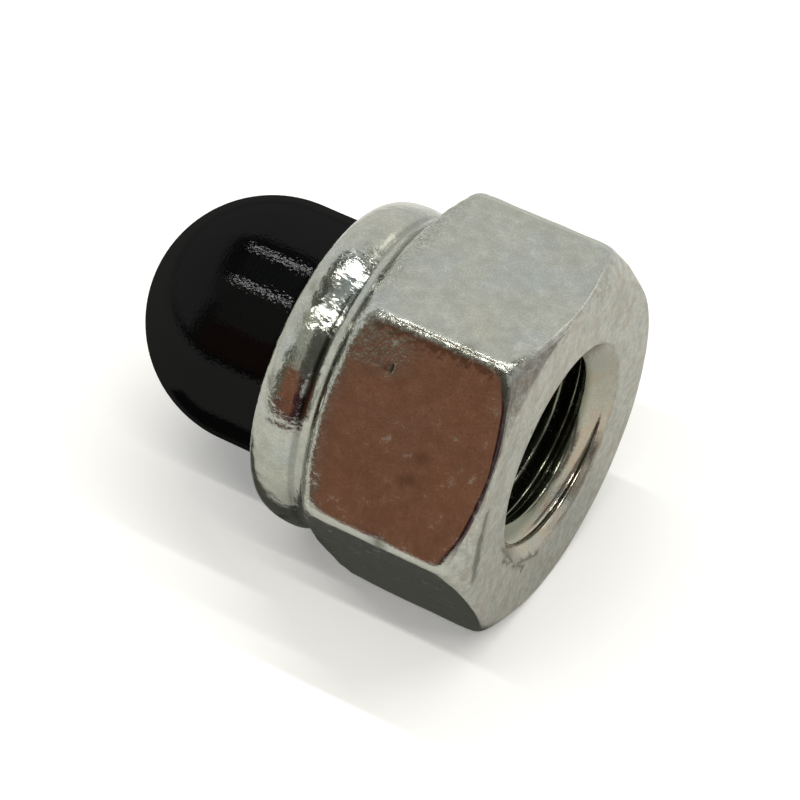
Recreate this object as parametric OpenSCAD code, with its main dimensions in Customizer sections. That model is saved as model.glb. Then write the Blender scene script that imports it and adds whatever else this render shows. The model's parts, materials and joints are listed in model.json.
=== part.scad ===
// Domed cap lock nut lying on one of its flats: a zinc plated steel hexagon nut whose rolled collar
// holds a moulded black plastic cap. The open end of the thread points along +X.

/* [Hexagon] */
// Width across the flats, the spanner size
across_flats = 17; // [15:0.5:20]
// Radius of the rounded edges between the flats
edge_radius = 0.55; // [0.2:0.05:1.2]
// How far the round bearing face stays inside the flats
face_step = 0.16; // [0.05:0.01:0.4]
// Angle of the chamfer round the bearing face
chamfer_angle = 31; // [20:1:40]
// Angle of the sloped shoulder that ends the flats below the collar
shoulder_angle = 18; // [10:1:40]

/* [Collar] */
// Height of the valley between shoulder and collar above the bearing face
valley_height = 9.65; // [7.5:0.05:12]
// Radius of the fillet that leads from the shoulder up into the valley
fillet_radius = 1.1; // [0.8:0.1:1.6]
// Thickness of the collar's wall at its widest line
collar_wall = 1.15; // [0.9:0.05:1.5]
// Height from the valley up to the collar's widest line
collar_rise = 1.5; // [1:0.1:2]
// Depth of the valley, from the widest line of the collar
valley_depth = 0.25; // [0.1:0.05:0.5]
// Radius of the collar's rolled shoulder
roll_radius = 1.05; // [0.8:0.05:1.3]
// Thickness of the lip that is rolled in over the cap's flange
lip_thickness = 1; // [0.7:0.1:1.3]
// Radius of the lip's inner edge
lip_edge_radius = 0.3; // [0.1:0.05:0.5]

/* [Thread] */
// Nominal diameter of the thread
thread_diameter = 10; // [8:0.5:12]
// Pitch of the thread
thread_pitch = 1.5; // [1:0.25:1.5]
// How far the mouth of the countersink is wider than the thread
sink_oversize = 0.8; // [0.4:0.1:1.4]
// Full angle of the countersink
sink_angle = 90; // [60:5:120]

/* [Cap] */
// How much narrower the cap's hollow is than the thread, so that it grips the bolt
cap_grip = 0.8; // [0.4:0.1:1.2]
// Wall of the cap
cap_wall = 1.4; // [0.8:0.1:1.6]
// Width by which the foot of the cap is thicker than its neck
foot_step = 0.3; // [0.1:0.05:0.4]
// Radius of the flare from the neck out to the foot
flare_radius = 0.7; // [0.4:0.1:1.5]
// How far the flange reaches out past the foot, under the lip
flange_reach = 0.55; // [0.4:0.05:0.7]
// Thickness of the flange
flange_thickness = 2.4; // [1.6:0.1:2.8]
// Height of the straight neck, from the lip to the start of the dome
neck_height = 3.4; // [1.5:0.1:6]
// Radial clearance between the cap and the steel round it
cap_clearance = 0.05; // [0.02:0.01:0.1]

/* [Hidden] */
steel = [0.7, 0.72, 0.68];
black_plastic = [0.05, 0.05, 0.055];
round_fn = 120;
arc_steps = 12;
dome_steps = 24;
past = 1;

flat_radius = across_flats / 2;
corner_radius = flat_radius / cos(30);
blank_radius = corner_radius + past;
face_radius = flat_radius - face_step;

thread_bore_radius = (thread_diameter - thread_pitch) / 2;
sink_radius = (thread_diameter + sink_oversize) / 2;
sink_slope = tan(sink_angle / 2);
sink_depth = (sink_radius - thread_bore_radius) / sink_slope;

// Radii of the cap, and of the steel that holds it
hollow_radius = (thread_diameter - cap_grip) / 2;
neck_radius = hollow_radius + cap_wall;
foot_radius = neck_radius + foot_step;
flange_radius = foot_radius + flange_reach;
lip_radius = foot_radius + cap_clearance;
seat_radius = flange_radius + cap_clearance;
collar_radius = seat_radius + collar_wall;
valley_radius = collar_radius - valley_depth;

// Heights above the bearing face
roll_height = valley_height + collar_rise;
lip_top = roll_height + roll_radius;
lip_underside = lip_top - lip_thickness;
seat_height = lip_underside - flange_thickness;
flare_rise = sqrt(flare_radius ^ 2 - (flare_radius - foot_step) ^ 2);
dome_base = lip_top + neck_height;
overall_length = dome_base + neck_radius;

// Fillet from the sloped shoulder up into the valley
fillet_sweep = 90 - shoulder_angle;
fillet_centre = [valley_radius + fillet_radius, valley_height];
fillet_end = fillet_centre - fillet_radius * [cos(fillet_sweep), sin(fillet_sweep)];
shoulder_low = fillet_end[1] - (blank_radius - fillet_end[0]) * tan(shoulder_angle);

// Side of the collar: an arc that starts in the valley and is upright at the widest line
side_radius = (collar_rise ^ 2 + valley_depth ^ 2) / (2 * valley_depth);
side_sweep = asin(collar_rise / side_radius);

// Points of an arc in the profile plane
function arc(centre, radius, from, to, steps) =
    [for (i = [0:steps]) let (a = from + (to - from) * i / steps) centre + radius * [cos(a), sin(a)]];

// Lays the upright nut down: its axis along X, a flat on the ground
module lying() {
    translate([overall_length / 2, 0, flat_radius])
        rotate([0, -90, 0])
            children();
}

// Hexagon with rounded corners and one flat facing along X
module rounded_hexagon() {
    corner_distance = corner_radius - edge_radius / cos(30);
    polygon([for (k = [0:5]) each arc(
        corner_distance * [cos(60 * k + 30), sin(60 * k + 30)], edge_radius, 60 * k, 60 * k + 60, arc_steps
    )]);
}

// Section that trims the hexagon: chamfered face below, sloped shoulder and fillet above
module hexagon_trim() {
    polygon(concat(
        [[0, 0], [face_radius, 0]],
        [[blank_radius, (blank_radius - face_radius) * tan(chamfer_angle)], [blank_radius, shoulder_low]],
        arc(fillet_centre, fillet_radius, 180 + fillet_sweep, 180, arc_steps),
        [[0, valley_height]]
    ));
}

// Section of the collar: curved side, rolled shoulder and flat lip
module collar_section() {
    polygon(concat(
        [[0, seat_height], [valley_radius, seat_height]],
        arc([collar_radius - side_radius, roll_height], side_radius, -side_sweep, 0, arc_steps),
        arc([collar_radius - roll_radius, roll_height], roll_radius, 0, 90, arc_steps),
        [[0, lip_top]]
    ));
}

// Section of all that is cut from the nut: countersink, thread bore, seat and mouth of the lip
module bore_section() {
    polygon(concat(
        [[0, -past], [sink_radius + past * sink_slope, -past], [thread_bore_radius, sink_depth]],
        [[thread_bore_radius, seat_height], [seat_radius, seat_height], [seat_radius, lip_underside]],
        [[lip_radius, lip_underside]],
        arc([lip_radius + lip_edge_radius, lip_top - lip_edge_radius], lip_edge_radius, 180, 90, arc_steps),
        [[lip_radius + lip_edge_radius, lip_top + past], [0, lip_top + past]]
    ));
}

module nut_body() {
    color(steel)
        lying()
            difference() {
                union() {
                    intersection() {
                        linear_extrude(valley_height)
                            rounded_hexagon();
                        rotate_extrude($fn = round_fn)
                            hexagon_trim();
                    }
                    rotate_extrude($fn = round_fn)
                        collar_section();
                }
                rotate_extrude($fn = round_fn)
                    bore_section();
            }
}

// Section of the cap: flange, foot, flared neck and hollow dome of even wall
module cap_section() {
    polygon(concat(
        [[hollow_radius, seat_height], [flange_radius, seat_height], [flange_radius, lip_underside]],
        [[foot_radius, lip_underside]],
        arc([neck_radius + flare_radius, lip_top + flare_rise], flare_radius,
            180 + asin(flare_rise / flare_radius), 180, arc_steps),
        arc([0, dome_base], neck_radius, 0, 90, dome_steps),
        arc([0, dome_base], hollow_radius, 90, 0, dome_steps)
    ));
}

module dome_cap() {
    color(black_plastic)
        lying()
            rotate_extrude($fn = round_fn)
                cap_section();
}

nut_body();
dome_cap();
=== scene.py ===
import json
import math
from types import SimpleNamespace

import bmesh
import bpy
import numpy as np
from mathutils import Matrix, Vector, noise

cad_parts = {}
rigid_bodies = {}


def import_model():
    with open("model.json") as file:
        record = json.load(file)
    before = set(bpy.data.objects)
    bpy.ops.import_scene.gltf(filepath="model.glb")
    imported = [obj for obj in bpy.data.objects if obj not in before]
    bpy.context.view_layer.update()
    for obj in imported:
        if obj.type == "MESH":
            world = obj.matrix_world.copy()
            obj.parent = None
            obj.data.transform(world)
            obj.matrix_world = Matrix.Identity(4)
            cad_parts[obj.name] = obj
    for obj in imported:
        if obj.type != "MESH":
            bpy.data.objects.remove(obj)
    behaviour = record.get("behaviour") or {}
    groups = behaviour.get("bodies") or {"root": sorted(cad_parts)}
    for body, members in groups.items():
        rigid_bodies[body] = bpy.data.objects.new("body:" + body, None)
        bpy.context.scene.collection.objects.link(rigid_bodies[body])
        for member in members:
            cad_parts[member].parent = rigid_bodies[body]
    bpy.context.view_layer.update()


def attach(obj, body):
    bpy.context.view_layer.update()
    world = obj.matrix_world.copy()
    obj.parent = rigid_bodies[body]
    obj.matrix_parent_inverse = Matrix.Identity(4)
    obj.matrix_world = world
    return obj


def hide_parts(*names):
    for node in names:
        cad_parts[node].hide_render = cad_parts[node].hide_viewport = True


for unused in list(bpy.data.objects):
    bpy.data.objects.remove(unused)
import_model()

QUARTER = math.pi / 2
SIXTH = math.pi / 3
TWELFTH = math.pi / 6
DOWN = -QUARTER

MM = 0.001

# Lengths in millimetres and slopes in radians, as in the construction of nut and cap
FLAT = 8.5
CORNER = FLAT / math.cos(TWELFTH)
EDGE_RADIUS = 0.55
FACE_RADIUS = 8.34
CHAMFER = math.radians(31)
SHOULDER = math.radians(18)
VALLEY_HEIGHT = 9.65
VALLEY_RADIUS = 7.8
VALLEY_DEPTH = 0.25
FILLET_RADIUS = 1.1
COLLAR_RADIUS = 8.05
ROLL_RADIUS = 1.05
LIP_TOP = 12.2
LIP_UNDERSIDE = 11.2
LIP_RADIUS = 6.35
LIP_EDGE = 0.3
SEAT_RADIUS = 6.9
SEAT_HEIGHT = 8.8
SINK_RADIUS = 5.4
SINK_SLOPE = math.pi / 4
BORE_RADIUS = 4.25
ROOT_RADIUS = 5.05
PITCH = 1.5
HOLLOW_RADIUS = 4.6
NECK_RADIUS = 6.0
FOOT_RADIUS = 6.3
FLANGE_RADIUS = 6.85
FLARE_RADIUS = 0.7
DOME_BASE = 15.6
HALF_LENGTH = 10.8

# The collar as the finished nut has it: a lower side under a fuller roll
COLLAR_RISE = 0.8
ROLL_FULLNESS = 2.3
# Rounded rims of the bearing face, and the ring between them
MOUTH_EDGE = 0.07
MOUTH_RING_END = 5.95
FACE_EDGE = 0.22
# Rounded ends of the flats, which are rounder near the six edges, and how far from an edge that goes
BROW = 0.34
BROW_AT_EDGE = 0.95
SHOULDER_EDGE = 0.50
SHOULDER_AT_EDGE = 1.15
EDGE_REACH = math.radians(11)
# Share of the chamfer that the roundings at its two ends may take
CHAMFER_USED = 0.94
# Radius and height at which the outside's mesh starts, inside the countersink
SINK_JOIN = (5.2, 0.2)

# Where the upright nut lies: its axis along X, its open end towards +X, a flat on the floor
LYING = Matrix((
    (0, 0, -MM, HALF_LENGTH * MM),
    (0, MM, 0, 0),
    (MM, 0, 0, FLAT * MM),
    (0, 0, 0, 1),
))
NUT_MIDDLE = Vector((0, 0, FLAT * MM))


def make_camera():
    """Camera at the photograph's viewing angle."""
    place = Vector((53.960, -100.212, 114.059)) * MM
    ahead = Vector((-0.33282, 0.64508, -0.68782))
    right = Vector((0.86023, 0.50650, 0.05878))
    data = bpy.data.cameras.new("camera")
    data.lens = 149.638
    data.sensor_width = 36
    data.clip_start = 0.01
    data.clip_end = 20
    camera = bpy.data.objects.new("camera", data)
    up = right.cross(ahead)
    turned = Matrix((right, up, -ahead)).transposed().to_4x4()
    camera.matrix_world = Matrix.Translation(place) @ turned
    bpy.context.scene.collection.objects.link(camera)
    bpy.context.scene.camera = camera


# A section is a list of points: radius, height, and the radius and height parts of the outward normal
def straight(start, end, count, ease=0.0):
    """Points of a straight line, without its last one. Ease crowds them towards both ends."""
    along = (end[0] - start[0], end[1] - start[1])
    length = math.hypot(*along)
    normal = (along[1] / length, -along[0] / length)
    points = []
    for i in range(count):
        t = i / count
        t -= ease * math.sin(2 * math.pi * t)
        points.append((start[0] + along[0] * t, start[1] + along[1] * t, *normal))
    return points


def arc(centre, radius, start, end, count, outward=1):
    """Points of an arc, without its last one. Angles are in radians."""
    points = []
    for i in range(count):
        a = start + (end - start) * i / count
        c, s = math.cos(a), math.sin(a)
        points.append((centre[0] + radius * c, centre[1] + radius * s, outward * c, outward * s))
    return points


def rolled(centre, across, along, count):
    """Quarter of a slightly squared ellipse, from its outer side to its top, without the last point."""
    power = 2 / ROLL_FULLNESS
    points = []
    for i in range(count):
        a = QUARTER * i / count
        c, s = math.cos(a), math.sin(a)
        normal = (c ** (2 - power) / across, s ** (2 - power) / along)
        size = math.hypot(*normal)
        points.append((
            centre[0] + across * c ** power, centre[1] + along * s ** power,
            normal[0] / size, normal[1] / size,
        ))
    return points


def from_flat(angle):
    """Angle from the middle of the nearest flat."""
    return abs((angle + TWELFTH) % SIXTH - TWELFTH)


def edge_nearness(angle):
    """1 at the six edges of the hexagon, 0 where their rounder ends stop."""
    t = max(0, 1 - (TWELFTH - from_flat(angle)) / EDGE_REACH)
    return t * t * (3 - 2 * t)


def hexagon_radius(angle):
    """Distance from the axis to the hexagon with its rounded edges."""
    off = from_flat(angle)
    from_corner = TWELFTH - off
    centre = CORNER - EDGE_RADIUS / math.cos(TWELFTH)
    tangent = math.atan2(EDGE_RADIUS * math.sin(TWELFTH), centre + EDGE_RADIUS * math.cos(TWELFTH))
    if from_corner > tangent:
        return FLAT / math.cos(off)
    side = centre * math.sin(from_corner)
    return centre * math.cos(from_corner) + math.sqrt(EDGE_RADIUS ** 2 - side ** 2)


# Rows of each stretch of the nut's section, in order
ROWS = {
    "sink": 3, "mouth_edge": 3, "mouth_ring": 6, "face": 20, "face_edge": 4, "chamfer": 10, "brow": 8,
    "flat": 36, "shoulder_edge": 8, "shoulder": 18, "side": 10, "roll": 18, "lip": 4, "lip_edge": 6,
    "mouth": 2, "underside": 2, "seat_wall": 2, "seat_floor": 2,
}
ROW_NAMES = [name for name, count in ROWS.items() for _ in range(count)]
FLAT_EASE = 0.11
FILLET_CENTRE = (VALLEY_RADIUS + FILLET_RADIUS, VALLEY_HEIGHT)
FILLET_END = (
    FILLET_CENTRE[0] - FILLET_RADIUS * math.sin(SHOULDER),
    FILLET_CENTRE[1] - FILLET_RADIUS * math.cos(SHOULDER),
)


def mouth_stretch():
    """The countersink's rim and the inner ring of the bearing face."""
    centre = (SINK_RADIUS + MOUTH_EDGE * math.tan(SINK_SLOPE / 2), MOUTH_EDGE)
    start = (
        centre[0] - MOUTH_EDGE * math.sin(SINK_SLOPE),
        centre[1] - MOUTH_EDGE * math.cos(SINK_SLOPE),
    )
    return (
        straight(SINK_JOIN, start, ROWS["sink"])
        + arc(centre, MOUTH_EDGE, DOWN - SINK_SLOPE, DOWN, ROWS["mouth_edge"])
        + straight((centre[0], 0), (MOUTH_RING_END, 0), ROWS["mouth_ring"])
    )


def chamfer_stretch(radius, near):
    """Height at which the flat starts, and the section up to there: face, chamfer and rounded brow."""
    length = (radius - FACE_RADIUS) / math.cos(CHAMFER)
    brow = BROW + (BROW_AT_EDGE - BROW) * near
    face_cut = FACE_EDGE * math.tan(CHAMFER / 2)
    brow_cut = brow * math.tan((QUARTER - CHAMFER) / 2)
    shrink = min(1, CHAMFER_USED * length / (face_cut + brow_cut))
    face_edge = FACE_EDGE * shrink
    brow = brow * shrink
    brow_height = (radius - FACE_RADIUS) * math.tan(CHAMFER) + brow_cut * shrink
    face_end = (FACE_RADIUS - face_cut * shrink, 0)
    chamfer_start = (
        face_end[0] + face_edge * math.sin(CHAMFER),
        face_edge * (1 - math.cos(CHAMFER)),
    )
    brow_centre = (radius - brow, brow_height)
    chamfer_end = (
        brow_centre[0] + brow * math.sin(CHAMFER),
        brow_centre[1] - brow * math.cos(CHAMFER),
    )
    return brow_height, (
        straight((MOUTH_RING_END, 0), face_end, ROWS["face"])
        + arc((face_end[0], face_edge), face_edge, DOWN, DOWN + CHAMFER, ROWS["face_edge"])
        + straight(chamfer_start, chamfer_end, ROWS["chamfer"])
        + arc(brow_centre, brow, DOWN + CHAMFER, 0, ROWS["brow"])
    )


def shoulder_stretch(radius, round_off):
    """Height at which the flat ends, and its rounded end, the shoulder and the fillet up to the valley."""
    centre_radius = radius - round_off
    line_height = FILLET_END[1] - (centre_radius - FILLET_END[0]) * math.tan(SHOULDER)
    centre = (centre_radius, line_height - round_off / math.cos(SHOULDER))
    turn = QUARTER - SHOULDER
    touch = (centre[0] + round_off * math.cos(turn), centre[1] + round_off * math.sin(turn))
    slope = math.hypot(touch[0] - FILLET_END[0], touch[1] - FILLET_END[1])
    if touch[0] < FILLET_END[0]:
        gap = FILLET_CENTRE[0] - centre_radius
        reach = FILLET_RADIUS + round_off
        centre = (centre_radius, FILLET_CENTRE[1] - math.sqrt(reach ** 2 - gap ** 2))
        turn = math.atan2(FILLET_CENTRE[1] - centre[1], gap)
        slope = 0
    rest = []
    total = slope + FILLET_RADIUS * turn
    for i in range(ROWS["shoulder"]):
        gone = total * i / ROWS["shoulder"]
        if gone < slope:
            share = gone / slope
            rest.append((
                touch[0] + (FILLET_END[0] - touch[0]) * share,
                touch[1] + (FILLET_END[1] - touch[1]) * share,
                math.sin(SHOULDER), math.cos(SHOULDER),
            ))
        else:
            a = turn - (gone - slope) / FILLET_RADIUS
            c, s = math.cos(a), math.sin(a)
            rest.append((
                FILLET_CENTRE[0] - FILLET_RADIUS * c, FILLET_CENTRE[1] - FILLET_RADIUS * s, c, s,
            ))
    return centre[1], arc(centre, round_off, 0, turn, ROWS["shoulder_edge"]) + rest


def collar_stretch():
    """The collar from the valley over its roll and lip to the seat of the cap."""
    side_radius = (COLLAR_RISE ** 2 + VALLEY_DEPTH ** 2) / (2 * VALLEY_DEPTH)
    side_sweep = math.asin(COLLAR_RISE / side_radius)
    widest = VALLEY_HEIGHT + COLLAR_RISE
    roll_radius = COLLAR_RADIUS - ROLL_RADIUS
    lip_centre = (LIP_RADIUS + LIP_EDGE, LIP_TOP - LIP_EDGE)
    return (
        arc((COLLAR_RADIUS - side_radius, widest), side_radius, -side_sweep, 0, ROWS["side"])
        + rolled((roll_radius, widest), ROLL_RADIUS, LIP_TOP - widest, ROWS["roll"])
        + straight((roll_radius, LIP_TOP), (lip_centre[0], LIP_TOP), ROWS["lip"])
        + arc(lip_centre, LIP_EDGE, QUARTER, math.pi, ROWS["lip_edge"])
        + straight((LIP_RADIUS, lip_centre[1]), (LIP_RADIUS, LIP_UNDERSIDE), ROWS["mouth"])
        + straight((LIP_RADIUS, LIP_UNDERSIDE), (SEAT_RADIUS, LIP_UNDERSIDE), ROWS["underside"])
        + straight((SEAT_RADIUS, LIP_UNDERSIDE), (SEAT_RADIUS, SEAT_HEIGHT), ROWS["seat_wall"])
        + straight((SEAT_RADIUS, SEAT_HEIGHT), (SINK_JOIN[0], SEAT_HEIGHT), ROWS["seat_floor"])
    )


def nut_section(angle):
    """The nut's section at this angle, from the countersink round the outside to the seat of the cap."""
    radius = hexagon_radius(angle)
    near = edge_nearness(angle)
    flat_start, lower = chamfer_stretch(radius, near)
    round_off = SHOULDER_EDGE + (SHOULDER_AT_EDGE - SHOULDER_EDGE) * near
    flat_end, upper = shoulder_stretch(radius, round_off)
    flat = straight((radius, flat_start), (radius, flat_end), ROWS["flat"], FLAT_EASE)
    return mouth_stretch() + lower + flat + upper + collar_stretch()


# Columns round the nut, and how strongly they crowd at the six edges
COLUMNS = 480
CROWDING = 0.85


def column_angle(column):
    """Angle of a column round the nut."""
    plain = 2 * math.pi * column / COLUMNS
    return plain - CROWDING / 6 * math.sin(6 * (plain - TWELFTH))


# Dents, scrapes and nicks: two ends (radius, angle in degrees, height), width and depth
DENTS = [
    # Scar across the end face, with a raised border
    ((7.66, -74, 0.0), (7.80, -84, 0.0), 0.17, 0.050),
    ((7.80, -84, 0.0), (7.95, -93, 0.0), 0.25, 0.070),
    ((7.95, -93, 0.0), (8.22, -100, 0.0), 0.18, 0.050),
    ((7.48, -79, 0.0), (7.56, -90, 0.0), 0.12, -0.020),
    # Burr along the lower rim of the countersink
    ((5.62, -108, 0.0), (5.66, -136, 0.0), 0.10, -0.060),
    ((5.66, -136, 0.0), (5.58, -164, 0.0), 0.09, -0.050),
    ((5.80, -118, 0.0), (5.82, -150, 0.0), 0.08, 0.05),
    # Nick and two shallow dents on the flat that faces the camera
    ((8.97, -41.5, 5.9), (8.95, -42.5, 6.2), 0.13, 0.05),
    ((8.60, -62, 3.2), (8.62, -63, 3.6), 0.20, 0.018),
    ((8.70, -70, 3.5), (8.72, -71, 3.8), 0.22, 0.020),
    # Dents on the collar
    ((8.20, -20, 12.0), (8.20, -26, 11.6), 0.25, 0.05),
    ((8.10, -118, 10.2), (8.10, -124, 11.1), 0.12, 0.07),
    # Knocks on the edges of the hexagon
    ((9.50, -30, 3.0), (9.50, -30, 3.2), 0.30, 0.05),
    ((9.60, -30, 5.6), (9.60, -30, 5.7), 0.22, 0.04),
    ((9.60, -90, 4.0), (9.60, -90, 4.1), 0.25, 0.05),
]
# How uneven the border of a dent is, and the depth from which a dent is fully dark
DENT_WOBBLE = 0.06
SCAR_DEPTH = 0.030


def upright(radius, degrees, height):
    """Upright place at this distance from the axis."""
    a = math.radians(degrees)
    return np.array((radius * math.cos(a), radius * math.sin(a), height))


def noise_field(points, size, seed):
    """Smooth noise of about -1 to 1 at each point, in lumps of this size in millimetres."""
    shift = Vector((seed * 17.3, seed * 5.1, seed * 9.7))
    scaled = points.reshape(-1, 3) / size
    values = [noise.noise(Vector(point) + shift) for point in scaled]
    return np.array(values).reshape(points.shape[:-1]) * 1.6


def dent_depth(points):
    """Depth of all dents at each point of an array of upright places."""
    depth = np.zeros(points.shape[:-1])
    wobble = noise_field(points, 0.45, 7) * DENT_WOBBLE
    for first, last, width, deep in DENTS:
        start = upright(*first)
        along = upright(*last) - start
        t = np.clip((points - start) @ along / max(along @ along, 1e-9), 0, 1)
        away = np.linalg.norm(points - (start + t[..., None] * along), axis=-1) * (1 + wobble / width)
        depth += deep * np.exp(-(away / width) ** 2)
    return depth


# Gentle waves of all outer faces: width, seed and height
WAVES = ((1.9, 1, 0.007), (0.8, 2, 0.002))
# How deep the edges of the flats are worn down, how far in that reaches, how uneven it is and how
# much it polishes: along the six edges, towards the open end, and towards the collar
SIDE_WEAR = (0.013, 0.18, 0.005, 1.0)
LOW_WEAR = (0.015, 0.16, 0.003, 0.3)
HIGH_WEAR = (0.040, 0.50, 0.022, 0.3)
# Depth, unevenness and polish of the wear on the round rims
RIM_WEAR = (0.012, 0.010, 0.6)
# How much the wear comes and goes along an edge
WEAR_SPREAD = 0.6


def rows_of(*names):
    """1 for the rows of these stretches, 0 for the others."""
    return np.array([float(name in names) for name in ROW_NAMES])


def edge_wear(heights, angles):
    """Depth, unevenness and polish of the wear at all columns and rows of the nut's outside."""
    worn = np.zeros_like(heights)
    uneven = np.zeros_like(heights)
    polish = np.zeros_like(heights)
    half = CORNER / 2 - EDGE_RADIUS * math.tan(TWELFTH)
    from_side = np.array([max(half - FLAT * math.tan(from_flat(angle)), 0) for angle in angles])
    first = ROW_NAMES.index("flat")
    last = first + ROWS["flat"] - 1
    distances = (
        from_side[:, None],
        np.clip(heights - heights[:, [first]], 0, None),
        np.clip(heights[:, [last]] - heights, 0, None),
    )
    on_sides = rows_of("brow", "flat", "shoulder_edge")
    for (deep, reach, rough, shine), distance in zip((SIDE_WEAR, LOW_WEAR, HIGH_WEAR), distances):
        share = np.exp(-distance / reach) * on_sides
        worn += deep * share
        uneven += rough * share
        polish += shine * share
    rims = rows_of("mouth_edge", "face_edge", "lip_edge") > 0
    for field, value in zip((worn, uneven, polish), RIM_WEAR):
        field[:, rims] = value
    return worn, uneven, np.clip(polish, 0, 1)


# The collar is rolled on a little off the axis: how far, the rows of the shoulder over which that sets
# in, and the share of it that the top of the lip has
COLLAR_SHIFT = (-0.15, -0.11)
SHIFT_ROWS = 16
LIP_SHIFT = 0.5
# Direction of the flat with the painted dark maroon reflection along its rim towards the open end, the
# rim's width in rows, and its strength on the other flats
PAINTED_RIM_FLAT = math.radians(-60)
RIM_ROWS = 6
RIM_ELSEWHERE = 0.08


def painted_reflection_rim(angles):
    """Strength of the painted dark maroon reflection line between chamfer and flats, at all columns and
    rows.
    """
    strength = []
    for angle in angles:
        on_dark_flat = math.cos(angle - PAINTED_RIM_FLAT) > math.cos(TWELFTH)
        strength.append((1 - edge_nearness(angle)) * (1 if on_dark_flat else RIM_ELSEWHERE))
    rim = np.zeros((len(angles), len(ROW_NAMES)))
    end = ROW_NAMES.index("flat")
    rim[:, end - RIM_ROWS:end] = np.array(strength)[:, None]
    return rim


def nut_surface():
    """Places of all columns and rows of the nut's outside, and their polish, scars and painted reflection
    rim.
    """
    angles = [column_angle(column) for column in range(COLUMNS)]
    section = np.array([nut_section(angle) for angle in angles])
    ahead = np.array([(math.cos(angle), math.sin(angle)) for angle in angles])[:, None, :]
    places = np.concatenate((section[..., 0:1] * ahead, section[..., 1:2]), axis=-1)
    normals = np.concatenate((section[..., 2:3] * ahead, section[..., 3:4]), axis=-1)
    worn, uneven, polish = edge_wear(places[..., 2], angles)
    waves = sum(noise_field(places, width, seed) * high for width, seed, high in WAVES)
    spread = 1 + WEAR_SPREAD * noise_field(places, 1.3, 4)
    wear = worn * spread + uneven * noise_field(places, 0.55, 3)
    scars = dent_depth(places)
    outside = 1 - rows_of("mouth", "underside", "seat_wall", "seat_floor", "sink")
    places += normals * ((waves - wear - scars) * outside)[..., None]
    rows = np.arange(len(ROW_NAMES))
    shoulder, lip = ROW_NAMES.index("shoulder"), ROW_NAMES.index("lip")
    shift = np.clip((rows - shoulder) / SHIFT_ROWS, 0, 1) * (rows < lip) + rows_of("lip") * LIP_SHIFT
    places[..., :2] += np.array(COLLAR_SHIFT) * shift[None, :, None]
    return places, {
        "wear": polish,
        "scar": np.clip(np.abs(scars) / SCAR_DEPTH, 0, 1),
        "rim": painted_reflection_rim(angles),
    }


# Turns of the thread, steps in a turn, height of its lowest root and height at which its mesh starts
TURNS = 7
THREAD_STEPS = 160
THREAD_START = -1.583
THREAD_MOUTH = 0.3
# Vertices closer together than this are merged
SEAM = 0.002


def thread_points():
    """Section of one pitch of the thread, from the middle of one root to the middle of the next."""
    half = [
        (ROOT_RADIUS, 0), (ROOT_RADIUS, 0.055), (ROOT_RADIUS - 0.05, 0.12), (4.85, 0.215), (4.6, 0.36),
        (4.36, 0.495), (4.29, 0.54), (4.258, 0.58), (BORE_RADIUS, 0.63), (BORE_RADIUS, 0.75),
    ]
    return half + [(r, PITCH - h) for r, h in reversed(half[:-1])]


def chain_of(mesh, points):
    """A chain of edges through these points."""
    verts = [mesh.verts.new(point) for point in points]
    return verts + [mesh.edges.new(pair) for pair in zip(verts, verts[1:])]


def repeat(mesh, geometry, count, angle, lift):
    """Adds copies, each turned and lifted further, and merges the seams between them."""
    for i in range(1, count):
        copy = bmesh.ops.duplicate(mesh, geom=geometry)["geom"]
        verts = [item for item in copy if isinstance(item, bmesh.types.BMVert)]
        turn = Matrix.Rotation(angle * i, 4, "Z")
        bmesh.ops.transform(mesh, matrix=Matrix.Translation((0, 0, lift * i)) @ turn, verts=verts)
    bmesh.ops.remove_doubles(mesh, verts=mesh.verts, dist=SEAM)


def everything(mesh):
    return mesh.verts[:] + mesh.edges[:] + mesh.faces[:]


def add_thread(mesh):
    """Winds the thread's section up the bore and cuts it off at the countersink and at the seat."""
    chain = chain_of(mesh, [(r, 0, THREAD_START + h) for r, h in thread_points()])
    bmesh.ops.spin(
        mesh, geom=chain, cent=(0, 0, 0), axis=(0, 0, 1), angle=2 * math.pi,
        steps=THREAD_STEPS, dvec=(0, 0, PITCH / THREAD_STEPS), use_merge=False,
    )
    repeat(mesh, everything(mesh), TURNS, 0, PITCH)
    for vert in mesh.verts:
        r = math.hypot(vert.co.x, vert.co.y)
        cone = SINK_RADIUS - vert.co.z
        if r < cone:
            vert.co.x *= cone / r
            vert.co.y *= cone / r
    for height, side in ((THREAD_MOUTH, -1), (SEAT_HEIGHT, 1)):
        bmesh.ops.bisect_plane(
            mesh, geom=everything(mesh), dist=1e-5,
            plane_co=(0, 0, height), plane_no=(0, 0, side), clear_outer=True, clear_inner=False,
        )


def open_edges(mesh, height, low, high):
    """Open edges at this height whose distance from the axis lies between low and high."""
    found = []
    for edge in mesh.edges:
        if edge.is_boundary and all(
            abs(v.co.z - height) < 1e-3 and low < math.hypot(v.co.x, v.co.y) < high
            for v in edge.verts
        ):
            found.append(edge)
    return found


def into_object(mesh, name):
    """Makes a mesh an object of the scene."""
    data = bpy.data.meshes.new(name)
    mesh.to_mesh(data)
    mesh.free()
    made = bpy.data.objects.new(name, data)
    bpy.context.scene.collection.objects.link(made)
    return made


def finish_mesh(mesh, name):
    """Turns the faces outwards, lays the upright shape down and makes it an object."""
    bmesh.ops.recalc_face_normals(mesh, faces=mesh.faces)
    bmesh.ops.transform(mesh, matrix=LYING, verts=mesh.verts)
    for face in mesh.faces:
        face.smooth = True
    return into_object(mesh, name)


# The outside starts as a plain ring this far out, at the height of its row's number
RING_RADIUS = 50


def on_ring(vert):
    return math.hypot(vert.co.x, vert.co.y) > RING_RADIUS - 1


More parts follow.
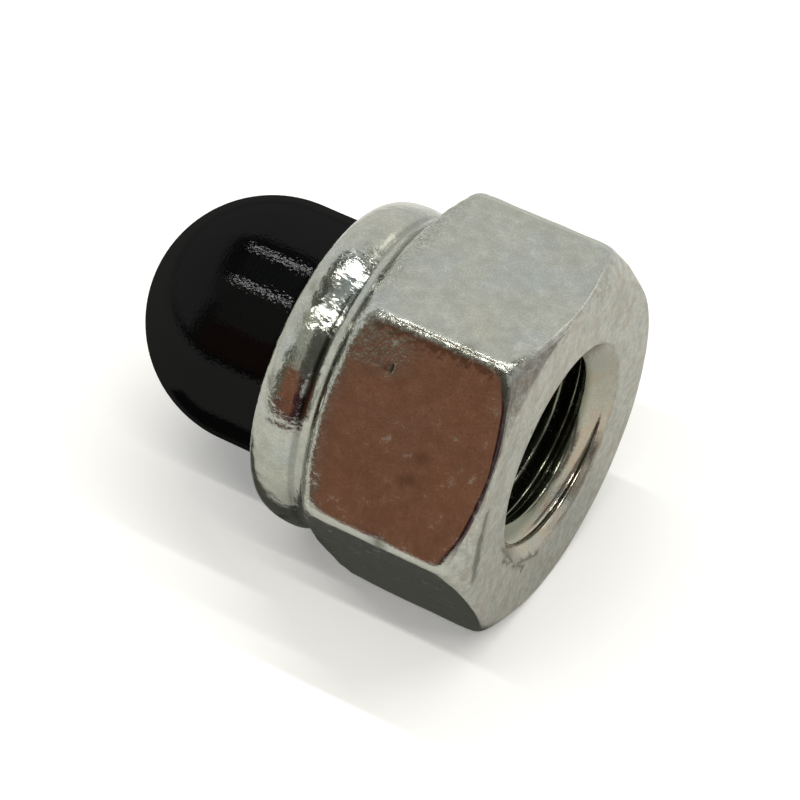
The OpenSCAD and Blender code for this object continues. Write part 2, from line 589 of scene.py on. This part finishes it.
def add_ring(mesh):
    """A ring with a vertex for every column and row of the nut's outside."""
    chain = chain_of(mesh, [(RING_RADIUS, 0, row) for row in range(len(ROW_NAMES))])
    bmesh.ops.spin(
        mesh, geom=chain, cent=(0, 0, 0), axis=(0, 0, 1), angle=SIXTH,
        steps=COLUMNS // 6, use_merge=False,
    )
    verts = [v for v in mesh.verts if on_ring(v)]
    wanted = set(verts)
    edges = [e for e in mesh.edges if e.verts[0] in wanted]
    faces = [f for f in mesh.faces if f.verts[0] in wanted]
    repeat(mesh, verts + edges + faces, 6, SIXTH, 0)


def make_nut():
    mesh = bmesh.new()
    add_thread(mesh)
    places, fields = nut_surface()
    layers = [(mesh.verts.layers.float.new(name), field) for name, field in fields.items()]
    add_ring(mesh)
    for vert in mesh.verts:
        if not on_ring(vert):
            continue
        row = round(vert.co.z)
        turn = math.atan2(vert.co.y, vert.co.x) / (2 * math.pi)
        column = round(turn * COLUMNS) % COLUMNS
        vert.co = places[column, row]
        for layer, field in layers:
            vert[layer] = field[column, row]
    mouth = open_edges(mesh, THREAD_MOUTH, 5.0, 5.3) + open_edges(mesh, SINK_JOIN[1], 5.0, 5.3)
    seat = open_edges(mesh, SEAT_HEIGHT, 4.0, SEAT_RADIUS)
    for loops in (mouth, seat):
        bmesh.ops.triangle_fill(mesh, use_beauty=True, edges=loops, normal=(0, 0, 1))
    return finish_mesh(mesh, "zinc_nut")


def cap_section():
    """The cap's section, from the tip of its hollow down to the flange and up to the tip of its dome."""
    flare_rise = math.sqrt(FLARE_RADIUS ** 2 - (NECK_RADIUS + FLARE_RADIUS - FOOT_RADIUS) ** 2)
    flare_turn = math.asin(flare_rise / FLARE_RADIUS)
    flare_centre = (NECK_RADIUS + FLARE_RADIUS, LIP_TOP + flare_rise)
    return (
        arc((0, DOME_BASE), HOLLOW_RADIUS, QUARTER, 0, 20, -1)
        + straight((HOLLOW_RADIUS, DOME_BASE), (HOLLOW_RADIUS, SEAT_HEIGHT), 6)
        + straight((HOLLOW_RADIUS, SEAT_HEIGHT), (FLANGE_RADIUS, SEAT_HEIGHT), 3)
        + straight((FLANGE_RADIUS, SEAT_HEIGHT), (FLANGE_RADIUS, LIP_UNDERSIDE), 2)
        + straight((FLANGE_RADIUS, LIP_UNDERSIDE), (FOOT_RADIUS, LIP_UNDERSIDE), 2)
        + straight((FOOT_RADIUS, LIP_UNDERSIDE), (FOOT_RADIUS, LIP_TOP), 3)
        + arc(flare_centre, FLARE_RADIUS, math.pi + flare_turn, math.pi, 9, -1)
        + straight((NECK_RADIUS, LIP_TOP + flare_rise), (NECK_RADIUS, DOME_BASE), 22)
        + arc((0, DOME_BASE), NECK_RADIUS, 0, QUARTER, 56)
        + [(0, DOME_BASE + NECK_RADIUS, 0, 1)]
    )


CAP_QUARTER = 64


def make_cap():
    mesh = bmesh.new()
    chain = chain_of(mesh, [(r, 0, h) for r, h, _, _ in cap_section()])
    bmesh.ops.spin(
        mesh, geom=chain, cent=(0, 0, 0), axis=(0, 0, 1), angle=QUARTER,
        steps=CAP_QUARTER, use_merge=False,
    )
    repeat(mesh, everything(mesh), 4, QUARTER, 0)
    bmesh.ops.dissolve_degenerate(mesh, dist=1e-4, edges=mesh.edges)
    return finish_mesh(mesh, "black_cap")


class Wire:
    """An output of a shader node. Arithmetic on it adds Math nodes."""

    def __init__(self, board, socket):
        self.board = board
        self.socket = socket

    def __add__(self, other):
        return self.board.math("ADD", self, other)

    def __sub__(self, other):
        return self.board.math("SUBTRACT", self, other)

    def __rsub__(self, other):
        return self.board.math("SUBTRACT", other, self)

    def __mul__(self, other):
        return self.board.math("MULTIPLY", self, other)

    def __pow__(self, other):
        return self.board.math("POWER", self, other)

    __radd__ = __add__
    __rmul__ = __mul__


class Board:
    """Adds nodes to one node tree."""

    def __init__(self, tree):
        self.tree = tree

    def node(self, kind, settings=None, sockets=None, out=0):
        made = self.tree.nodes.new(kind)
        for name, value in (settings or {}).items():
            setattr(made, name, value)
        for key, value in (sockets or {}).items():
            if isinstance(value, Wire):
                self.tree.links.new(value.socket, made.inputs[key])
            else:
                made.inputs[key].default_value = value
        return Wire(self, made.outputs[out]) if made.outputs else made

    def math(self, operation, first, second=0.0):
        return self.node("ShaderNodeMath", {"operation": operation}, {0: first, 1: second})

    def vector_math(self, operation, sockets, out=0):
        return self.node("ShaderNodeVectorMath", {"operation": operation}, sockets, out)

    def blend(self, factor, first, second):
        """Mixes two colours."""
        return self.node("ShaderNodeMix", {"data_type": "RGBA"}, {0: factor, 6: first, 7: second}, out=2)

    def attribute(self, name):
        """A value that the piece's vertices carry."""
        return self.node("ShaderNodeAttribute", {"attribute_name": name}, out=2)

    def place(self):
        """Object coordinates in millimetres."""
        raw = self.node("ShaderNodeTexCoord", out=3)
        return self.vector_math("SCALE", {0: raw, "Scale": 1 / MM})

    def part(self, vector, index):
        return self.node("ShaderNodeSeparateXYZ", None, {0: vector}, out=index)

    def stretched(self, place, scale):
        return self.vector_math("MULTIPLY", {0: place, 1: scale})

    def turned(self, place, rotation, scale):
        """Coordinates along axes turned like this, with the lumps stretched by scale along each."""
        return self.node("ShaderNodeMapping", {"vector_type": "TEXTURE"}, {
            "Vector": place, "Rotation": rotation, "Scale": scale,
        })

    def length(self, vector):
        return self.vector_math("LENGTH", {0: vector}, out=1)

    def spot(self, place, middle, scale, reach):
        """1 at a place and 0 beyond its reach, which scale makes shorter along each axis."""
        away = self.stretched(self.vector_math("SUBTRACT", {0: place, 1: middle}), scale)
        return self.between(self.length(away), reach, reach * 0.4)

    def noise(self, place, size, detail, rough=0.5):
        """Noise from 0 to 1 with lumps of this size in millimetres."""
        return self.node("ShaderNodeTexNoise", None, {
            "Vector": place, "Scale": 1 / size, "Detail": detail, "Roughness": rough,
        })

    def between(self, value, low, high):
        """0 below low, 1 above high and smooth between them; low may be the larger."""
        return self.node("ShaderNodeMapRange", {"interpolation_type": "SMOOTHSTEP"}, {
            "Value": value, "From Min": low, "From Max": high, "To Min": 0.0, "To Max": 1.0,
        })

    def bump(self, height, distance):
        return self.node("ShaderNodeBump", None, {
            "Strength": 0.6, "Distance": distance, "Height": height,
        })


def colour(r, g, b):
    return (r, g, b, 1.0)


def new_material(name):
    material = bpy.data.materials.new(name)
    material.use_nodes = True
    material.node_tree.nodes.clear()
    return material, Board(material.node_tree)


def close_surface(board, shader):
    board.node("ShaderNodeOutputMaterial", None, {"Surface": shader})


def zinc_patterns(board, place):
    """The noises of the plating, from wide clouds to fine grain. Sizes are in millimetres."""
    across_face = board.turned(place, (math.radians(62), 0, 0), (1, 1.6, 0.9))
    return SimpleNamespace(
        cloud=board.noise(place, 3.2, 2),
        stain=board.noise(place, 1.2, 5, 0.7),
        streak=board.noise(across_face, 0.85, 6, 0.62),
        mottle=board.noise(place, 0.75, 6, 0.65),
        flecks=board.between(board.noise(place, 0.75, 5, 0.72), 0.585, 0.68),
        hammered=board.noise(place, 0.65, 2, 0.45),
        patch=board.noise(place, 0.40, 5, 0.65),
        lumps=board.noise(place, 0.30, 3, 0.55),
        crackle=board.between(board.noise(place, 0.15, 4, 0.65), 0.44, 0.60),
        grain=board.noise(place, 0.085, 2, 0.6),
    )


def zinc_zones(board, place, pattern):
    """Masks of the nut's zones, from 0 to 1. The open end is at high x."""
    x = board.part(place, 0)
    y = board.part(place, 1)
    z = board.part(place, 2) - FLAT
    radius = (y * y + z * z) ** 0.5
    past_face = board.math("MAXIMUM", radius - FACE_RADIUS, 0.0) * math.tan(CHAMFER)
    in_bore = board.between(radius, 5.42, 5.3)
    # The flat that faces the camera: how far up it a place lies, and how far out
    up_flat = y * 0.5 + z * 0.866
    out_of_flat = z * 0.5 - y * 0.866
    on_flat = board.between(out_of_flat, 8.25, 8.36) * board.between(x, 10.0, 9.6)
    edge_line = up_flat + (pattern.lumps - 0.5) * 1.6 - x * 0.03
    # Crumpled plating at the collar end of the flats and near one corner, whose crackle also carries
    # painted dark reflections
    corner = board.spot(place, (3.3, -5.5, 15.7), (0.50, 1.0, 1.0), 1.9)
    border = board.between(x + pattern.cloud * 1.6, 4.5, 3.1) * board.between(radius, 8.3, 8.45)
    from_valley = board.math("ABSOLUTE", x - 1.16)
    groove = board.between(from_valley, 0.24, 0.08) * board.between(radius, 8.35, 8.1)
    # Painted shade and dark reflection in the valley, strongest round this spot
    groove_painted_shade_spot = board.spot(place, (1.16, -6.3, 12.9), (0.3, 1.0, 1.0), 3.2)
    return SimpleNamespace(
        face=board.between(x, 10.70, 10.77),
        end=board.between(x + past_face, 10.66, 10.74),
        collar=board.between(x, 1.75, 1.35) * board.between(radius, 6.6, 7.0),
        flat=on_flat,
        # band: strip along the upper edge of that flat, which carries a painted dark reflection
        band=board.between(edge_line, 3.95, 4.25) * on_flat,
        crumpled=board.math("MAXIMUM", border, corner),
        # groove: a weak dark line of dirt all round, and painted shade and dark reflection at the spot
        groove=groove * (0.30 + 0.62 * groove_painted_shade_spot),
        bore=in_bore,
        # deep: the bore past the countersink, where painted shade darkens the thread
        deep=board.between(x, 9.95, 9.65) * in_bore,
        nick=board.spot(place, (4.85, -5.94, 15.22), (3.4, 1.0, 1.0), 0.34),
        edge=board.between(board.attribute("wear"), 0.75, 1.0),
        scar=board.attribute("scar"),
        # rim: strength of the painted dark maroon reflection between chamfer and flats
        rim=board.attribute("rim"),
    )


DULL_ZINC = colour(0.400, 0.407, 0.350)
BRIGHT_ZINC = colour(0.488, 0.495, 0.430)
BLUISH_ZINC = colour(0.405, 0.455, 0.455)
STRAW_ZINC = colour(0.50, 0.485, 0.385)
DARK_PATCH = colour(0.26, 0.265, 0.225)
END_DARK = colour(0.32, 0.310, 0.265)
END_PALE = colour(0.58, 0.56, 0.50)
STREAK_PALE = colour(0.56, 0.56, 0.52)
STREAK_DARK = colour(0.27, 0.262, 0.222)
BEIGE_STAIN = colour(0.40, 0.335, 0.26)
CONE_GREY = colour(0.40, 0.395, 0.33)
CONE_TAN = colour(0.47, 0.375, 0.275)
# Painted shade for the thread deep inside the bore
THREAD_PAINTED_SHADE = colour(0.150, 0.170, 0.120)
PIT_DARK = colour(0.20, 0.205, 0.175)
POLISHED = colour(0.54, 0.56, 0.51)
FLAT_STAIN = colour(0.30, 0.27, 0.22)
FLECK_PALE = colour(0.50, 0.51, 0.46)
# Dark crackle of the crumpled plating, partly painted dark reflection
CRACKLE_AND_PAINTED_REFLECTION = colour(0.20, 0.20, 0.155)
# Painted dark reflection along the upper edge of the flat that faces the camera
BAND_PAINTED_REFLECTION = colour(0.15, 0.135, 0.105)
# Painted dark maroon reflection for the rim between chamfer and flats
RIM_PAINTED_REFLECTION = colour(0.055, 0.020, 0.028)
# Dark line in the valley groove: dirt all round, with painted shade and dark reflection at one spot
GROOVE_DIRT_AND_PAINTED_SHADE = colour(0.030, 0.026, 0.022)
SCAR_DARK = colour(0.115, 0.108, 0.082)
NICK_BLACK = colour(0.06, 0.06, 0.045)


def layered(board, base, layers):
    """Lays colours over a base, each as strong as its mask."""
    for mask, tone in layers:
        base = board.blend(mask, base, tone)
    return base


def zinc_colour(board, pattern, zone):
    """Colour of the plating, with its stains and marks, and painted shade and dark reflections in places.
    """
    between = board.between
    plain = board.blend(between(pattern.mottle, 0.32, 0.68), DULL_ZINC, BRIGHT_ZINC)
    end = layered(board, board.blend(between(pattern.patch, 0.34, 0.66), END_DARK, END_PALE), (
        (between(pattern.streak, 0.50, 0.62) * 0.6, STREAK_PALE),
        (between(pattern.streak, 0.46, 0.34) * 0.7, STREAK_DARK),
    ))
    cone = board.blend(between(pattern.stain, 0.40, 0.62), CONE_GREY, CONE_TAN)
    return layered(board, plain, (
        (between(pattern.cloud, 0.50, 0.72) * 0.5, BLUISH_ZINC),
        (between(pattern.cloud, 0.48, 0.25) * 0.45, STRAW_ZINC),
        (between(pattern.patch, 0.58, 0.40) * 0.18, DARK_PATCH),
        (zone.end * 0.58, end),
        (between(pattern.stain, 0.52, 0.66) * zone.end * 0.8, BEIGE_STAIN),
        (zone.bore * 0.75, cone),
        # painted shade on the thread deep inside the bore
        (zone.deep * 0.80, THREAD_PAINTED_SHADE),
        (between(pattern.grain, 0.60, 0.44) * 0.26, PIT_DARK),
        (zone.edge * 0.4, POLISHED),
        (zone.flat * between(pattern.stain, 0.56, 0.42) * 0.16, FLAT_STAIN),
        (pattern.flecks * 0.25, FLECK_PALE),
        # crackle of the crumpled plating, partly painted dark reflection
        (zone.crumpled * pattern.crackle * 0.55, CRACKLE_AND_PAINTED_REFLECTION),
        # painted dark reflection along the upper edge of the flat that faces the camera
        (zone.band * between(pattern.lumps, 0.36, 0.50) * 0.7, BAND_PAINTED_REFLECTION),
        # painted dark maroon reflection along the rim between chamfer and flats
        (zone.rim * between(pattern.stain, 0.30, 0.46) * 0.80, RIM_PAINTED_REFLECTION),
        # dirt in the valley groove, with painted shade and dark reflection at one spot
        (zone.groove, GROOVE_DIRT_AND_PAINTED_SHADE),
        (zone.scar * 0.78, SCAR_DARK),
        (zone.nick * 0.85, NICK_BLACK),
    ))


def zinc_roughness(board, pattern, zone):
    """Semi-mirror all over, more matt on the end face, in the bore and on worn places."""
    return (
        0.10 + pattern.mottle * 0.07 + pattern.grain * 0.05 + pattern.flecks * 0.16
        + board.between(pattern.mottle, 0.62, 0.8) * 0.08
        + zone.end * 0.14 + zone.face * 0.10 + zone.edge * 0.08 + zone.bore * 0.05
        + zone.crumpled * pattern.crackle * 0.13
        - zone.collar * 0.04
    )


def zinc_height(pattern, zone):
    """Small unevenness: pits all over, hammered on the collar, crumpled and streaked in places."""
    fine = (pattern.mottle - 0.5) * 0.45 + (pattern.patch - 0.5) * 0.20
    fine = fine + (pattern.grain - 0.5) * 0.12 - pattern.flecks * 0.06
    lumpy = zone.collar * 0.3 + zone.crumpled * 1.8 + zone.band * 0.5 + zone.edge * 0.35
    return (
        fine * (0.75 + zone.collar * 0.4 + zone.end * 0.7 + zone.edge * 0.7)
        + (pattern.hammered - 0.5) * zone.collar * 1.35
        + (pattern.lumps - 0.5) * lumpy
        + (pattern.streak - 0.5) * zone.end * 0.8
        - zone.nick * 0.5
    )


def zinc_steel():
    """Zinc plating: mottled, finely pitted, matt and stained on the end face, with painted shade inside
    the thread.
    """
    material, board = new_material("zinc_steel")
    place = board.place()
    pattern = zinc_patterns(board, place)
    zone = zinc_zones(board, place, pattern)
    close_surface(board, board.node("ShaderNodeBsdfPrincipled", None, {
        "Base Color": zinc_colour(board, pattern, zone),
        "Metallic": 1.0,
        "Roughness": zinc_roughness(board, pattern, zone),
        "Normal": board.bump(zinc_height(pattern, zone), 0.06 * MM),
    }))
    return material


def black_plastic():
    """Moulded black plastic: a deep black body under a thin, finely ringed skin of gloss."""
    material, board = new_material("black_plastic")
    place = board.place()
    rings = board.noise(board.stretched(place, (5.0, 0.5, 0.5)), 0.45, 3, 0.6)
    grain = board.noise(place, 0.15, 1, 0.6)
    cloud = board.noise(place, 1.5, 3)
    bump = board.bump(rings * 0.42 + grain * 0.52, 0.03 * MM)
    base = board.blend(cloud, colour(0.0008, 0.0008, 0.0011), colour(0.0022, 0.0022, 0.0022))
    body = board.node("ShaderNodeBsdfPrincipled", None, {
        "Base Color": base, "Roughness": 0.5, "Specular IOR Level": 0.0, "Normal": bump,
    })
    gloss = board.node("ShaderNodeBsdfPrincipled", None, {
        "Base Color": colour(1, 1, 1), "Metallic": 1.0, "Roughness": 0.045 + cloud * 0.04, "Normal": bump,
    })
    slant = board.node("ShaderNodeLayerWeight", None, {"Blend": 0.5}, out=1)
    share = 0.0080 + slant * 0.0075
    close_surface(board, board.node("ShaderNodeMixShader", None, {0: share, 1: body, 2: gloss}))
    return material


def seen(board):
    """1 for what the camera, a reflection or a pane shows, 0 for the light that falls on a surface."""
    camera, glossy, transmission = (board.node("ShaderNodeLightPath", out=name) for name in (
        "Is Camera Ray", "Is Glossy Ray", "Is Transmission Ray",
    ))
    return board.math("MINIMUM", camera + glossy + transmission, 1.0)


FLOOR_COLOUR = colour(0.86, 0.85, 0.80)
# How far from the nut, in millimetres, the floor starts to look lit in reflections, and is fully so
FLOOR_NEAR = 12.0
FLOOR_FAR = 45.0


def make_floor():
    mesh = bmesh.new()
    bmesh.ops.create_grid(mesh, x_segments=1, y_segments=1, size=3.0)
    bmesh.ops.translate(mesh, verts=mesh.verts, vec=(0, 0, -0.00002))
    material, board = new_material("floor_white")
    far = board.between(board.length(board.place()), FLOOR_NEAR, FLOOR_FAR)
    viewed = board.node("ShaderNodeLightPath", out="Is Camera Ray")
    lift = far * seen(board) * 0.18 + viewed * 0.24
    diffuse = board.node("ShaderNodeBsdfDiffuse", None, {"Color": FLOOR_COLOUR})
    glow = board.node("ShaderNodeEmission", None, {"Color": colour(1, 1, 1), "Strength": lift})
    close_surface(board, board.node("ShaderNodeAddShader", None, {0: diffuse, 1: glow}))
    floor = into_object(mesh, "floor")
    floor.data.materials.append(material)


# Light from the horizon and from above
WORLD_LOW = 0.03
WORLD_HIGH = 0.50


def make_world():
    world = bpy.data.worlds.new("surroundings")
    world.use_nodes = True
    world.node_tree.nodes.clear()
    board = Board(world.node_tree)
    shown = seen(board)
    direction = board.node("ShaderNodeTexCoord")
    rise = board.between(board.part(direction, 2), 0.0, 0.9)
    strength = shown + (1 - shown) * (WORLD_LOW + (WORLD_HIGH - WORLD_LOW) * rise)
    light = board.node("ShaderNodeBackground", None, {"Color": colour(1, 1, 1), "Strength": strength})
    board.node("ShaderNodeOutputWorld", None, {"Surface": light})
    bpy.context.scene.world = world


def aimed(place, target):
    """Place and turn of something at place that faces target, its long side level."""
    ahead = (target - place).normalized()
    right = ahead.cross(Vector((0, 0, 1))).normalized()
    up = right.cross(ahead)
    return Matrix.Translation(place) @ Matrix((right, up, -ahead)).transposed().to_4x4()


# The two lamps: distance, length, width and shift along the nut in metres, and radiance
LAMP_DISTANCE = 0.36
LAMP_LENGTH = 0.42
LAMP_WIDTH = 0.011
LAMP_SHIFT = Vector((0.02, 0, 0))
LAMP_RADIANCE = 40.0


def make_lamp(name, tilt):
    """A long lamp parallel to the nut's axis, tilted sideways from straight above."""
    a = math.radians(tilt)
    target = NUT_MIDDLE + LAMP_SHIFT
    data = bpy.data.lights.new(name, "AREA")
    data.shape = "RECTANGLE"
    data.size = LAMP_LENGTH
    data.size_y = LAMP_WIDTH
    data.energy = LAMP_RADIANCE * math.pi * LAMP_LENGTH * LAMP_WIDTH
    lamp = bpy.data.objects.new(name, data)
    lamp.matrix_world = aimed(target + LAMP_DISTANCE * Vector((0, math.sin(a), math.cos(a))), target)
    lamp.visible_camera = False
    bpy.context.scene.collection.objects.link(lamp)


# Cards out of view, which show only in reflections: name, size in metres and colour
CARD_DISTANCE = 0.30
MAROON = colour(0.060, 0.022, 0.033)
# Standing round the nut: direction in degrees from the front to the open end, and rise in degrees
STANDING_CARDS = (
    ("brown_card", (-15, 12.5), (0.225, 0.145), colour(0.335, 0.148, 0.094)),
    ("olive_card", (-41, 14), (0.062, 0.22), colour(0.17, 0.175, 0.135)),
    ("side_card", (50, 4), (0.60, 0.085), MAROON),
    ("rim_card", (14, 12), (0.090, 0.125), MAROON),
    ("end_card", (109, 5), (0.24, 0.10), colour(0.11, 0.08, 0.10)),
    ("bright_card", (160, 45), (0.09, 0.08), colour(1.8, 1.8, 1.7)),
)
# Level, above the lamps or just above the floor: middle in metres
LEVEL_CARDS = (
    # front_shade and under_shade: dark sheets just above the floor, painted shade on the floor in front of
    # and under the nut as reflections show it
    ("front_shade", (-0.02, -0.30, 0.0004), (0.70, 0.46), colour(0.075, 0.035, 0.045)),
    ("under_shade", (-0.0008, -0.0065, 0.0004), (0.0225, 0.0045), colour(0.085, 0.085, 0.075)),
    ("ceiling", (0.39, -0.395, 0.42), (1.62, 1.21), colour(0.13, 0.135, 0.115)),
    ("ceiling_corner", (-0.29, -0.46, 0.41), (0.32, 0.60), colour(0.52, 0.53, 0.47)),
    ("ceiling_field", (0.02, -0.03, 0.40), (0.40, 0.17), colour(0.40, 0.43, 0.44)),
)


def make_card(name, matrix, size, glow):
    """A thin glowing sheet of the stage that only reflections show."""
    mesh = bmesh.new()
    bmesh.ops.create_grid(mesh, x_segments=1, y_segments=1, size=0.5)
    bmesh.ops.scale(mesh, vec=(*size, 1), verts=mesh.verts)
    bmesh.ops.transform(mesh, matrix=matrix, verts=mesh.verts)
    material, board = new_material(name)
    close_surface(board, board.node("ShaderNodeEmission", None, {"Color": glow, "Strength": 1.0}))
    card = into_object(mesh, name)
    card.data.materials.append(material)
    card.visible_camera = False
    card.visible_diffuse = False
    card.visible_shadow = False


def make_cards():
    for name, (turn, rise), size, glow in STANDING_CARDS:
        a, e = math.radians(turn), math.radians(rise)
        ahead = Vector((math.sin(a) * math.cos(e), -math.cos(a) * math.cos(e), math.sin(e)))
        make_card(name, aimed(NUT_MIDDLE + ahead * CARD_DISTANCE, NUT_MIDDLE), size, glow)
    for name, middle, size, glow in LEVEL_CARDS:
        make_card(name, Matrix.Translation(middle), size, glow)


def dress(piece, node, material):
    """Puts a finished piece in the place of its solid."""
    piece.data.materials.append(material)
    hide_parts(node)
    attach(piece, "root")


bpy.context.scene.view_settings.view_transform = "Standard"
make_camera()
make_floor()
make_world()
make_lamp("lamp_back", 12.5)
make_lamp("lamp_front", -22.0)
make_cards()
dress(make_nut(), "nut_body", zinc_steel())
dress(make_cap(), "dome_cap", black_plastic())
